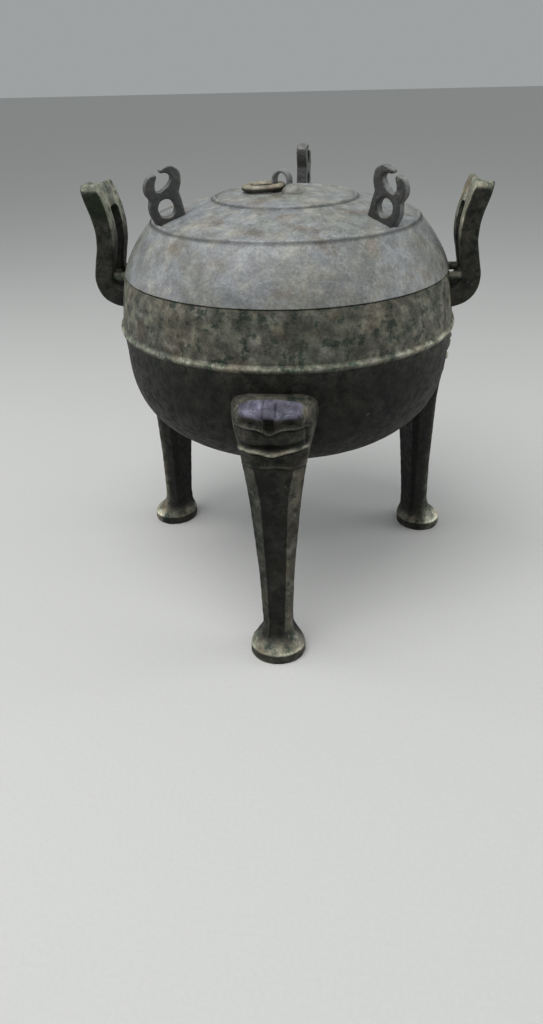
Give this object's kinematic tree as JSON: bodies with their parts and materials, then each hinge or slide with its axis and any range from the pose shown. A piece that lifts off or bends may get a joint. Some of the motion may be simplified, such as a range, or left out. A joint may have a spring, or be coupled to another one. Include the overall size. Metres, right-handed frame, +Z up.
{
  "type": "lidded bronze tripod vessel",
  "caption": "Round lidded ritual cooking vessel of patinated bronze on hoofed legs with animal masks, with upright ears, hooked lid knobs and a loose ring.",
  "frame": {"origin": "middle of the object's box in plan, at floor level, where the three hooves stand", "axes": "+Z up along the bowl's axis, which lies 17.15 mm behind the origin; +X to the right ear; -Y to the front leg"},
  "size_m": [0.3676, 0.3542, 0.4192],
  "materials": {
    "dark_bronze": "matt dark green-black patina",
    "grey_bronze": "matt grey-green patina",
    "ring_bronze": "matt olive-grey patina"
  },
  "bodies": {
    "root": {"vessel": "dark_bronze", "lid": "grey_bronze", "ring": "ring_bronze"}
  },
  "joints": []
}
